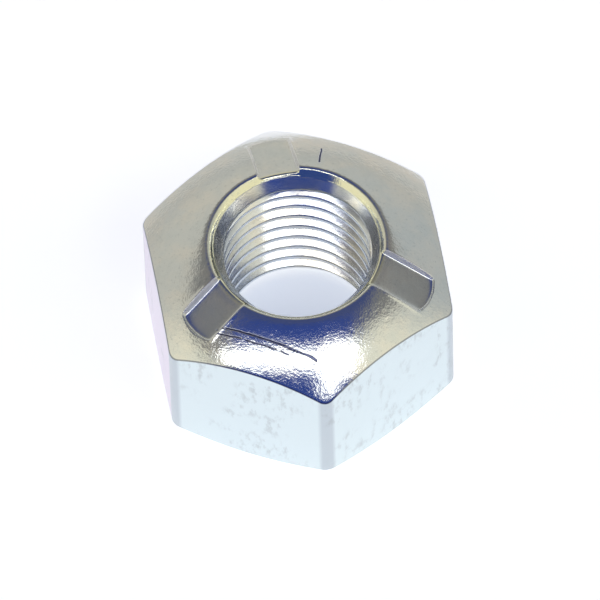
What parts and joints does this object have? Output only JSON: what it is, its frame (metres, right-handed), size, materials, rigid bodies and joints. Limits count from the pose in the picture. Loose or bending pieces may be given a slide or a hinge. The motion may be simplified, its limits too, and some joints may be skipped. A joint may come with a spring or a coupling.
{
  "type": "prevailing torque lock nut",
  "caption": "One-piece hexagon lock nut with a domed crown, radial notches pressed over alternate corners, and a fine-threaded through bore.",
  "frame": {"origin": "centre of the bearing face, on the thread axis", "axes": "+Z along the thread axis, from the bearing face to the notched crown; +X through a hexagon corner that carries a notch"},
  "size_m": [0.0218, 0.019, 0.0125],
  "materials": {
    "zinc_plated_steel": "bright zinc plating, clear to faintly yellow passivated, glossy on the crown and satin on the flats"
  },
  "bodies": {
    "root": {"lock_nut": "zinc_plated_steel"}
  },
  "joints": []
}
